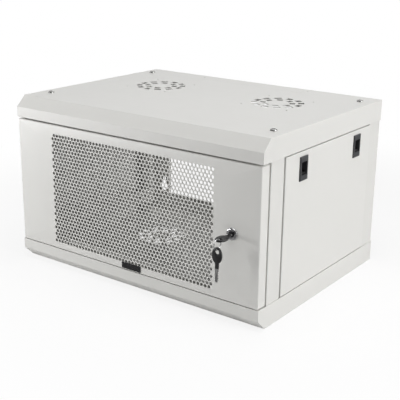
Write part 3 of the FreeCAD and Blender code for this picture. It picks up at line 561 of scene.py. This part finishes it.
screw_chrome = plated("screw_chrome", (0.4, 0.4, 0.39), 0.26)
bolt_radius, bolt_head, bolt_rise, bolt_length = 0.003, 0.0064, 0.0035, 0.0138
cross_reach, cross_depth = 0.0031, 0.0022
pan_profile = [(0, -bolt_length), (bolt_radius * 0.8, -bolt_length),
               (bolt_radius, -bolt_length + 0.0006), (bolt_radius, 0), (bolt_head, 0),
               (bolt_head, bolt_rise * 0.35), (bolt_head * 0.93, bolt_rise * 0.68),
               (bolt_head * 0.72, bolt_rise * 0.9), (bolt_head * 0.4, bolt_rise), (0, bolt_rise)]
pan_head = cross_headed("pan_head", pan_profile, cross_reach, cross_depth, bolt_rise)
roof_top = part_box("top_cover")[1].z
places = [(Vector(((low.x + high.x) / 2, (low.y + high.y) / 2, roof_top)), (0, 0, 1))
          for low, high in solid_boxes("roof_bolts")]
mount(set_fixings("roof_bolt_set", pan_head, places, screw_chrome), "cabinet", "screw_chrome",
      "roof_bolts")

flat_profile = [(0, -bolt_length), (bolt_radius * 0.8, -bolt_length),
                (bolt_radius, -bolt_length + 0.0006), (bolt_radius, bolt_radius - bolt_head),
                (bolt_head, 0), (0, 0)]
flat_head = cross_headed("flat_head", flat_profile, cross_reach, cross_depth, 0)
base_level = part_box("bottom_cover")[0].z
places = [(Vector(((low.x + high.x) / 2, (low.y + high.y) / 2, base_level)), (0, 0, -1))
          for low, high in solid_boxes("base_bolts")]
mount(set_fixings("base_bolt_set", flat_head, places, screw_chrome), "cabinet", "screw_chrome",
      "base_bolts")


# Rack rails and depth brackets
# The rails are folded 2 mm steel with punched square holes for cage nuts. The brackets
# join front and rear posts, and their slots let the rails move back and forth.
for node in ("left_rack_rail", "right_rack_rail"):
    mount(folded_copy(node, node + "_strip", frame_paint, 0.0016, 0.0003, sheet=0.0024),
          "cabinet", "frame_paint", node)
for node in ("lower_left_bracket", "lower_right_bracket", "upper_left_bracket",
             "upper_right_bracket"):
    mount(folded_copy(node, node + "_bar", frame_paint, 0.0012, 0.00025), "cabinet",
          "frame_paint", node)


# Bracket, rail and cable cover screws, and rail nuts
# Zinc plated pan head screws with cross recesses, and pressed hexagon nuts behind the rails.
zinc_steel = plated("zinc_steel", (0.4, 0.4, 0.395), 0.34)


def small_screw(radius, head_radius, head_height, length):
    """Points up: the head stands above 0 and the shank runs down."""
    profile = [(0, -length), (radius * 0.75, -length), (radius, -length + radius * 0.3),
               (radius, 0), (head_radius, 0), (head_radius, head_height * 0.45),
               (head_radius * 0.86, head_height * 0.8), (head_radius * 0.5, head_height),
               (0, head_height)]
    return cross_headed("screw_head", profile, head_radius * 0.5, head_height * 0.6, head_height)


def screw_set(name, node, slot, axis, toward, head_height):
    """Screws along one axis. toward(centre) is 1 or -1: the way that the head faces."""
    boxes = solid_boxes(node)
    low, high = boxes[0]
    others = [k for k in range(3) if k != axis]
    head_radius = (high[others[0]] - low[others[0]]) / 2
    length = high[axis] - low[axis] - head_height
    places = []
    for low, high in boxes:
        centre = (low + high) / 2
        way = toward(centre)
        point, aim = centre.copy(), Vector((0, 0, 0))
        point[axis] = high[axis] - head_height if way > 0 else low[axis] + head_height
        aim[axis] = way
        places.append((point, aim))
    head = small_screw(head_radius * 0.54, head_radius * 0.99, head_height * 0.98, length * 0.99)
    return mount(set_fixings(name, head, places, zinc_steel), "cabinet", slot, node)


cabinet_middle = (solids_low + solids_high) / 2
bracket_middle = -0.21
small_head = 0.0026
screw_set("bracket_screw_set", "bracket_screws", "zinc_steel", 1,
          lambda c: 1 if c.y < bracket_middle else -1, small_head)
screw_set("rail_screw_set", "rail_screws", "zinc_steel", 0,
          lambda c: -1 if c.x > 0 else 1, small_head)
screw_set("cable_screw_set", "cable_cover_screws", "zinc_steel", 2,
          lambda c: -1 if c.z > cabinet_middle.z else 1, small_head)
mount(folded_copy("rail_nuts", "rail_nut_set", zinc_steel, 0.0005, 0.0005, segments=2),
      "cabinet", "zinc_steel", "rail_nuts")


# Door
# One steel sheet, punched with 32 staggered rows of 48 round holes and folded into a
# shallow pan with a return flange behind, then powder coated.
def perforation_tree():
    """Lays the cell out in staggered rows, every second row half a pitch along."""
    tree = bpy.data.node_groups.new("perforation", "GeometryNodeTree")
    tree.interface.new_socket("Geometry", in_out="INPUT", socket_type="NodeSocketGeometry")
    input_socket(tree, "Columns", "NodeSocketInt", 48)
    input_socket(tree, "Rows", "NodeSocketInt", 32)
    input_socket(tree, "Pitch", "NodeSocketFloat", 0.00833)
    input_socket(tree, "Row step", "NodeSocketFloat", 0.00722)
    tree.interface.new_socket("First hole", in_out="INPUT", socket_type="NodeSocketVector")
    tree.interface.new_socket("Finish", in_out="INPUT", socket_type="NodeSocketMaterial")
    output_socket(tree, "Geometry", "NodeSocketGeometry")
    given, result = add(tree, "NodeGroupInput"), add(tree, "NodeGroupOutput")
    link = tree.links.new

    def maths(operation, first, second=None):
        node = add(tree, "ShaderNodeMath", operation=operation)
        for socket, value in zip(node.inputs, (first, second)):
            if hasattr(value, "links"):
                link(value, socket)
            elif value is not None:
                socket.default_value = value
        return node.outputs[0]

    count = maths("MULTIPLY", given.outputs["Columns"], given.outputs["Rows"])
    points = add(tree, "GeometryNodePoints")
    link(count, points.inputs["Count"])
    index = add(tree, "GeometryNodeInputIndex").outputs[0]
    row = maths("FLOOR", maths("DIVIDE", maths("ADD", index, 0.5), given.outputs["Columns"]))
    column = maths("SUBTRACT", index, maths("MULTIPLY", row, given.outputs["Columns"]))
    stagger = maths("MULTIPLY", maths("MODULO", row, 2.0), 0.5)
    across = maths("MULTIPLY", maths("ADD", column, stagger), given.outputs["Pitch"])
    up = maths("MULTIPLY", row, given.outputs["Row step"])
    place = add(tree, "ShaderNodeCombineXYZ")
    link(across, place.inputs["X"])
    link(up, place.inputs["Z"])
    start = add(tree, "ShaderNodeVectorMath", operation="ADD")
    link(place.outputs[0], start.inputs[0])
    link(given.outputs["First hole"], start.inputs[1])
    link(start.outputs[0], points.inputs["Position"])
    copies = add(tree, "GeometryNodeInstanceOnPoints")
    link(points.outputs[0], copies.inputs["Points"])
    link(given.outputs["Geometry"], copies.inputs["Instance"])
    real = add(tree, "GeometryNodeRealizeInstances")
    link(copies.outputs[0], real.inputs[0])
    merged = add(tree, "GeometryNodeMergeByDistance", Distance=0.00002)
    link(real.outputs[0], merged.inputs["Geometry"])
    finish = add(tree, "GeometryNodeSetMaterial")
    link(merged.outputs[0], finish.inputs["Geometry"])
    link(given.outputs["Finish"], finish.inputs["Material"])
    link(finish.outputs[0], result.inputs[0])
    return tree


def perforation_cell(pitch, row_step, radius):
    """A flat tile with one round hole, whose rim points meet the tiles of the next row."""
    bm = bmesh.new()
    half, rise = pitch / 2, row_step / 2
    rim = [(half, 0), (half, rise), (half / 2, rise), (0, rise), (-half / 2, rise), (-half, rise),
           (-half, 0), (-half, -rise), (-half / 2, -rise), (0, -rise), (half / 2, -rise),
           (half, -rise)]
    outer = [bm.verts.new((x, 0, z)) for x, z in rim]
    inner = [bm.verts.new((radius * math.cos(math.tau * i / 12), 0,
                           radius * math.sin(math.tau * i / 12))) for i in range(12)]
    for i in range(12):
        j = (i + 1) % 12
        bm.faces.new((outer[i], outer[j], inner[j], inner[i]))
    return bm


def rounded_loop(bm, x0, x1, z0, z1, radius, y, steps=4):
    """Points round a rectangle with rounded corners, facing the front."""
    corners = ((x1 - radius, z1 - radius, 0), (x0 + radius, z1 - radius, 1),
               (x0 + radius, z0 + radius, 2), (x1 - radius, z0 + radius, 3))
    return [bm.verts.new((x + radius * math.cos((quarter + i / steps) * math.pi / 2), y,
                          z + radius * math.sin((quarter + i / steps) * math.pi / 2)))
            for x, z, quarter in corners for i in range(steps + 1)]


def ring_of(bm, verts):
    return [bm.edges.get((a, b)) or bm.edges.new((a, b))
            for a, b in zip(verts, verts[1:] + verts[:1])]


door_paint = painted("door_paint", (0.72, 0.715, 0.69))
door_low, door_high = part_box("door_skin")
frame_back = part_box("door_frame")[1].y
lock_low, lock_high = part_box("lock_housing")
lock_x, lock_z = (lock_low.x + lock_high.x) / 2, (lock_low.z + lock_high.z) / 2
door_sheet = 0.0015
door_bend = 0.0022
door_flange = 0.014
hole_pitch, hole_row_step, hole_radius = 0.00833, 0.00722, 0.0034
hole_columns, hole_rows = 48, 32
first_hole_x, first_hole_rise = -0.2, 0.0171
door_corner, sharpest_corner, barrel_clear = 0.003, 0.0004, 0.0096

leaf = new_piece("door_leaf", perforation_cell(hole_pitch, hole_row_step, hole_radius), door_paint)
nodes_modifier(leaf, perforation_tree(), {
    "Columns": hole_columns, "Rows": hole_rows, "Pitch": hole_pitch, "Row step": hole_row_step,
    "First hole": (first_hole_x, door_low.y, door_low.z + first_hole_rise),
    "Finish": door_paint})
bm = bmesh.new()
bm.from_mesh(leaf.data)
hole_edge = hole_radius * 2 * math.sin(math.pi / 12)
pattern_rim = [edge for edge in bm.edges
               if edge.is_boundary and edge.calc_length() > hole_edge * 1.1]
levels = [(door_bend, door_low.y)]
for i in range(1, 5):
    angle = i * math.pi / 8
    levels.append((door_bend * (1 - math.sin(angle)),
                   door_low.y + door_bend * (1 - math.cos(angle))))
for i in range(0, 5):
    angle = i * math.pi / 8
    levels.append((door_bend * (1 - math.cos(angle)),
                   frame_back - door_bend * (1 - math.sin(angle))))
levels.append((door_flange, frame_back))
loops = [rounded_loop(bm, door_low.x + inset, door_high.x - inset, door_low.z + inset,
                      door_high.z - inset, max(door_corner - inset, sharpest_corner), y)
         for inset, y in levels]
for front_loop, back_loop in zip(loops, loops[1:]):
    for i in range(len(front_loop)):
        j = (i + 1) % len(front_loop)
        bm.faces.new((front_loop[i], front_loop[j], back_loop[j], back_loop[i]))
barrel_hole = [bm.verts.new((lock_x + barrel_clear * math.cos(math.tau * i / 32), door_low.y,
                             lock_z + barrel_clear * math.sin(math.tau * i / 32)))
               for i in range(32)]
bmesh.ops.triangle_fill(bm, use_beauty=True, normal=(0, -1, 0),
                        edges=pattern_rim + ring_of(bm, loops[0]) + ring_of(bm, barrel_hole))
bmesh.ops.recalc_face_normals(bm, faces=bm.faces)
front_face = max(bm.faces, key=lambda face: face.calc_area() if abs(face.normal.y) > 0.9 else 0)
if front_face.normal.y * (1 if front_face.calc_center_median().y < frame_back - 0.01 else -1) > 0:
    bmesh.ops.reverse_faces(bm, faces=bm.faces)
bm.to_mesh(leaf.data)
bm.free()
thickness = leaf.modifiers.new("sheet", "SOLIDIFY")
thickness.thickness = door_sheet
thickness.offset = -1.0
smooth(finished_mesh(leaf))
mount(leaf, "door", "door_paint", "door_skin", "door_frame")


# Badge plate
# A bare black plate bonded to the door under the perforation, with a bevelled rim.
def moulded_group():
    """Moulded plastic: a fine spark-eroded grain, soft shade changes and light rubbing."""
    group, given, result, place = surface_group(
        "moulded_plastic", "Plastic", (0.05, 0.05, 0.05), Dullness=0.45, Grain_size=1800.0)
    link = group.links.new
    grain = add(group, "ShaderNodeTexVoronoi", feature="SMOOTH_F1")
    link(place, grain.inputs["Vector"])
    link(given.outputs["Grain size"], grain.inputs["Scale"])
    link(grain.outputs["Distance"], result.inputs["Height"])
    rub = add(group, "ShaderNodeTexNoise", Scale=140.0, Detail=4.0)
    link(place, rub.inputs["Vector"])
    shade = add(group, "ShaderNodeMapRange", From_Min=0.25, From_Max=0.75, To_Min=0.85, To_Max=1.2)
    link(rub.outputs[0], shade.inputs["Value"])
    plastic = add(group, "ShaderNodeVectorMath", operation="SCALE")
    link(given.outputs["Plastic"], plastic.inputs[0])
    link(shade.outputs[0], plastic.inputs["Scale"])
    link(plastic.outputs[0], result.inputs["Plastic"])
    spread = add(group, "ShaderNodeMapRange", To_Min=-0.08, To_Max=0.08)
    link(rub.outputs[0], spread.inputs["Value"])
    total = add(group, "ShaderNodeMath", operation="ADD", use_clamp=True)
    link(spread.outputs[0], total.inputs[0])
    link(given.outputs["Dullness"], total.inputs[1])
    link(total.outputs[0], result.inputs["Roughness"])
    return group


moulded_plastic = moulded_group()


def moulded(name, colour, dullness, relief=0.12):
    return surfaced(name, moulded_plastic, {"Plastic": (*colour, 1), "Dullness": dullness}, relief,
                    0.0001, IOR=1.5)


badge_black = moulded("badge_black", (0.012, 0.012, 0.013), 0.22, relief=0.03)
mount(folded_copy("badge_plate", "badge_bar", badge_black, 0.0004, 0.0004), "door",
      "badge_black", "badge_plate")


# Door hinge
# Two headed steel pins drop through the door's edges into nylon top-hat bushes pressed
# into the sills.
def stood(bm, point, upside_down=False):
    if upside_down:
        bmesh.ops.rotate(bm, verts=bm.verts, matrix=Matrix.Rotation(math.pi, 3, "X"))
    bmesh.ops.translate(bm, verts=bm.verts, vec=point)
    return bm


def joined(name, meshes, material):
    """Puts several built meshes into one piece."""
    whole = bmesh.new()
    for bm in meshes:
        mesh = bpy.data.meshes.new("part")
        bm.to_mesh(mesh)
        bm.free()
        whole.from_mesh(mesh)
        bpy.data.meshes.remove(mesh)
    return smooth(new_piece(name, whole, material))


pins = []
pin_radius = 0.0025
for low, high in solid_boxes("hinge_pins"):
    centre = (low + high) / 2
    at_top = centre.z > cabinet_middle.z
    head, length = (high.x - low.x) / 2, high.z - low.z
    profile = [(0, 0), (head * 0.8, 0), (head, 0.0006), (head, 0.0024), (head * 0.8, 0.003),
               (pin_radius, 0.003), (pin_radius, length - 0.0006), (pin_radius * 0.75, length),
               (0, length)]
    pins.append(stood(turned(bmesh.new(), profile),
                      (centre.x, centre.y, low.z if at_top else high.z), not at_top))
mount(joined("hinge_pin_pair", pins, zinc_steel), "door", "zinc_steel", "hinge_pins")

bush_nylon = moulded("bush_nylon", (0.66, 0.64, 0.57), 0.5, relief=0.05)
bushes = []
bush_bore, sleeve_wall, sleeve_length = 0.00256, 0.00119, 0.005
for low, high in solid_boxes("hinge_bushes"):
    centre = (low + high) / 2
    at_top = centre.z > cabinet_middle.z
    flange, length = (high.x - low.x) / 2, high.z - low.z
    sleeve, lip = bush_bore + sleeve_wall, length - sleeve_length
    profile = [(bush_bore, 0), (flange * 0.93, 0), (flange, lip * 0.3), (flange, lip),
               (sleeve, lip), (sleeve, length), (bush_bore, length), (bush_bore, 0)]
    bushes.append(stood(turned(bmesh.new(), profile),
                        (centre.x, centre.y, low.z if at_top else high.z), not at_top))
bush_pair = joined("hinge_bush_pair", bushes, bush_nylon)
mount(bush_pair, "cabinet", "bush_nylon", "hinge_bushes")


# Door lock
# A chrome plated cam lock: a threaded die cast barrel with a polished bezel, a nut that
# clamps it behind the sheet, a dark plug with the keyway, and a cranked steel cam.
def facing_front(bm, point):
    """Turns a shape built up Z so that its top faces the front."""
    bmesh.ops.rotate(bm, verts=bm.verts, matrix=Matrix.Rotation(math.pi / 2, 3, "X"))
    bmesh.ops.translate(bm, verts=bm.verts, vec=point)
    return bm


lock_chrome = plated("lock_chrome", (0.68, 0.68, 0.69), 0.14, relief=0.03)
lock_core = plated("lock_core", (0.07, 0.07, 0.075), 0.36)
bezel_proud = door_low.y - lock_low.y
barrel_end = lock_high.y - door_low.y
bezel_radius = (lock_high.x - lock_low.x) / 2
barrel_radius, bore = 0.0094, 0.00606
profile = [(bore, -barrel_end), (barrel_radius - 0.0008, -barrel_end)]
thread_pitch = 0.0012
turns = int((barrel_end - 0.003) / thread_pitch)
for i in range(turns):
    level_now = -barrel_end + 0.0004 + i * thread_pitch
    profile += [(barrel_radius - 0.0006, level_now), (barrel_radius, level_now + thread_pitch / 2)]
profile += [(barrel_radius - 0.0006, -0.0016), (barrel_radius, -0.0012), (barrel_radius, 0),
            (bezel_radius, 0), (bezel_radius, bezel_proud * 0.3),
            (bezel_radius * 0.97, bezel_proud * 0.62), (bezel_radius * 0.88, bezel_proud * 0.9),
            (bezel_radius * 0.8, bezel_proud), (bezel_radius * 0.68, bezel_proud),
            (bezel_radius * 0.62, bezel_proud * 0.82), (bore, bezel_proud * 0.82),
            (bore, -barrel_end)]
housing = joined("lock_bezel", [facing_front(turned(bmesh.new(), profile, 56),
                                             (lock_x, door_low.y, lock_z))], lock_chrome)
mount(housing, "door", "lock_chrome", "lock_housing")
mount(folded_copy("lock_nut", "lock_ring_nut", zinc_steel, 0.0006, 0.0006, segments=2), "door",
      "zinc_steel", "lock_nut")

plug_low, plug_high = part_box("lock_plug")
plug_radius = (plug_high.x - plug_low.x) / 2
plug_length = plug_high.y - plug_low.y
profile = [(0, -plug_length), (0.004, -plug_length), (0.004, -plug_length + 0.0021),
           (plug_radius, -plug_length + 0.0021), (plug_radius, -0.0005),
           (plug_radius - 0.0005, 0), (0, 0)]
plug = joined("lock_core_plug", [facing_front(turned(bmesh.new(), profile, 48),
                                              (lock_x, plug_low.y, lock_z))], lock_core)
keyway_half_width, keyway_half_height, keyway_depth = 0.0037, 0.0012, 0.0218
bm = bmesh.new()
tapered_block(bm, keyway_half_width, keyway_half_height, 1.0, 0.001, -keyway_depth)
cut_by(plug, new_piece("keyway", facing_front(bm, (lock_x, plug_low.y, lock_z))))
mount(smooth(plug), "lock", "lock_core", "lock_plug")
mount(folded_copy("lock_cam", "lock_cam_arm", zinc_steel, 0.0012, 0.0004, sheet=0.0024), "lock",
      "zinc_steel", "lock_cam")
low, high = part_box("cam_screw")
length = high.y - low.y - small_head
cam_head = small_screw(0.002, (high.x - low.x) / 2 * 0.99, small_head * 0.98, length * 0.98)
places = [(Vector((lock_x, high.y - small_head, lock_z)), (0, 1, 0))]
mount(set_fixings("cam_screw_set", cam_head, places, zinc_steel), "lock", "zinc_steel", "cam_screw")


# Keys and ring
# Two pressed steel keys with moulded black bows. One is in the lock and carries the
# other on a split ring of sprung wire.
def outline_plate(outline, holes, thickness):
    """A flat plate in XY from closed outlines, as thick as given and centred on Z."""
    bm = bmesh.new()
    edges = []
    for points in [outline] + holes:
        verts = [bm.verts.new((x, y, -thickness / 2)) for x, y in points]
        edges += ring_of(bm, verts)
    bmesh.ops.triangle_fill(bm, use_beauty=True, use_dissolve=True, edges=edges, normal=(0, 0, -1))
    made = bmesh.ops.extrude_face_region(bm, geom=bm.faces[:])
    bmesh.ops.translate(bm, vec=(0, 0, thickness),
                        verts=[v for v in made["geom"] if isinstance(v, bmesh.types.BMVert)])
    bmesh.ops.recalc_face_normals(bm, faces=bm.faces)
    return bm


def eased(piece, width, segments=3):
    rounding = piece.modifiers.new("rounding", "BEVEL")
    rounding.limit_method = "ANGLE"
    rounding.angle_limit = math.radians(50)
    rounding.width = width
    rounding.segments = segments
    rounding.harden_normals = True
    return smooth(finished_mesh(piece), 40)


bow_black = moulded("bow_black", (0.014, 0.014, 0.015), 0.36)
bow_low, bow_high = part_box("key_bow")
bow_length = bow_high.y - bow_low.y
bow_half = (bow_high.x - bow_low.x) / 2
bow_thickness = bow_high.z - bow_low.z
blade_low, blade_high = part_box("key_blade")
blade_thickness = blade_high.z - blade_low.z
blade_half = (blade_high.x - blade_low.x) / 2
blade_out = blade_high.y - bow_high.y
ring_hole_edge, ring_hole_radius = 0.004, 0.0045
hole_centre = -bow_length + ring_hole_edge + ring_hole_radius
bow_collar, collar_half = 0.0095, 0.0036


def bow_mesh():
    """Laid along -Y from its shoulder at the origin: a narrow collar over the shank, then an
    oval with the ring's hole at the far end."""
    oval_half = (bow_length - bow_collar) / 2
    oval_width = bow_half * 0.995
    first = math.asin(collar_half / oval_width)
    outline = [(collar_half, 0), (-collar_half, 0)]
    for i in range(53):
        angle = -first - (math.tau - 2 * first) * i / 52
        outline.append((oval_width * math.sin(angle),
                        oval_half - bow_length + oval_half * math.cos(angle)))
    ring_hole = [(ring_hole_radius * math.cos(math.tau * i / 28),
                  hole_centre + ring_hole_radius * math.sin(math.tau * i / 28))
                 for i in range(28)]
    return outline_plate(outline, [ring_hole], bow_thickness)


def blade_mesh():
    """Laid along +Y from the origin: bitted on one edge, with a tapered tip."""
    edge = [(-blade_half, -0.0058), (blade_half, -0.0058), (blade_half, 0.004)]
    for i, depth in enumerate((0.0012, 0.0021, 0.0009, 0.0016, 0.0022)):
        start = 0.0052 + i * 0.0032
        edge += [(blade_half, start), (blade_half - depth, start + 0.0009),
                 (blade_half - depth, start + 0.0019), (blade_half - 0.0004, start + 0.0028)]
    edge += [(blade_half - 0.001, blade_out - 0.0028), (0.0005, blade_out - 0.0001),
             (-0.0012, blade_out - 0.0001), (-blade_half, blade_out - 0.002)]
    return outline_plate(edge, [], blade_thickness)


key_place = Matrix.Translation((lock_x, bow_high.y, (bow_low.z + bow_high.z) / 2))
spare_low, spare_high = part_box("spare_key_bow")
spare_place = (Matrix.Translation((lock_x, (spare_low.y + spare_high.y) / 2, spare_low.z))
               @ Matrix.Rotation(-math.pi / 2, 4, "X"))
for prefix, body, place in (("", "lock", key_place), ("spare_", "spare_key", spare_place)):
    bm = bow_mesh()
    bmesh.ops.transform(bm, matrix=place, verts=bm.verts)
    bow = eased(new_piece(prefix + "key_grip", bm, bow_black), 0.0013, 4)
    mount(bow, body, "bow_black", prefix + "key_bow")
    bm = blade_mesh()
    bmesh.ops.transform(bm, matrix=place, verts=bm.verts)
    blade = eased(new_piece(prefix + "key_shank", bm, zinc_steel), 0.0002, 2)
    mount(blade, body, "zinc_steel", prefix + "key_blade")

ring_low, ring_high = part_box("key_ring")
ring_centre = (ring_low + ring_high) / 2
ring_outer = (ring_high.z - ring_low.z) / 2
wire_half, wire_depth = (ring_high.x - ring_low.x) / 4, 0.00075
bm = bmesh.new()
coil_steps, coil_turns, sides = 56, 2, 8
sections = []
for i in range(coil_steps * coil_turns + 1):
    angle = math.tau * i / coil_steps
    along_x = wire_half * (2 * i / (coil_steps * coil_turns) - 1)
    section = []
    for j in range(sides):
        round_angle = math.tau * j / sides
        radius = ring_outer - wire_depth * 1.04 + wire_depth * math.cos(round_angle)
        across = wire_half * math.sin(round_angle) * 0.98
        section.append(bm.verts.new((ring_centre.x + along_x + across,
                                     ring_centre.y + radius * math.cos(angle),
                                     ring_centre.z + radius * math.sin(angle))))
    sections.append(section)
for first, second in zip(sections, sections[1:]):
    for j in range(sides):
        k = (j + 1) % sides
        bm.faces.new((first[j], first[k], second[k], second[j]))
bm.faces.new(sections[0])
bm.faces.new(list(reversed(sections[-1])))
bmesh.ops.recalc_face_normals(bm, faces=bm.faces)
split_ring = smooth(new_piece("split_ring", bm, lock_chrome), 50)
mount(split_ring, "key_ring", "lock_chrome", "key_ring")


# Side panels
# Shallow folded pans of 1.2 mm sheet with hook tabs below and two punched latch openings.
panel_paint = painted("panel_paint", (0.72, 0.715, 0.69))
for side in ("left", "right"):
    node = side + "_side_panel"
    mount(folded_copy(node, node + "_pan", panel_paint, 0.0015, 0.0003, sheet=0.0016),
          side + "_panel", "panel_paint", node)


# Slide latches
# A moulded dark grey bezel clips into each opening; behind its finger window a black
# slider pushes a tongue up behind the roof's flange.
latch_grey = moulded("latch_grey", (0.045, 0.047, 0.05), 0.4)
latch_black = moulded("latch_black", (0.012, 0.012, 0.012), 0.5)
for end in ("front", "rear"):
    for side in ("left", "right"):
        node = end + "_" + side + "_latch_housing"
        mount(folded_copy(node, node + "_bezel", latch_grey, 0.0006, 0.0002, sheet=0.0018,
                          segments=2), side + "_panel", "latch_grey", node)
        node = end + "_" + side + "_latch_slider"
        mount(folded_copy(node, node + "_slide", latch_black, 0.0003, 0.0003, segments=2),
              end + "_" + side + "_latch", "latch_black", node)
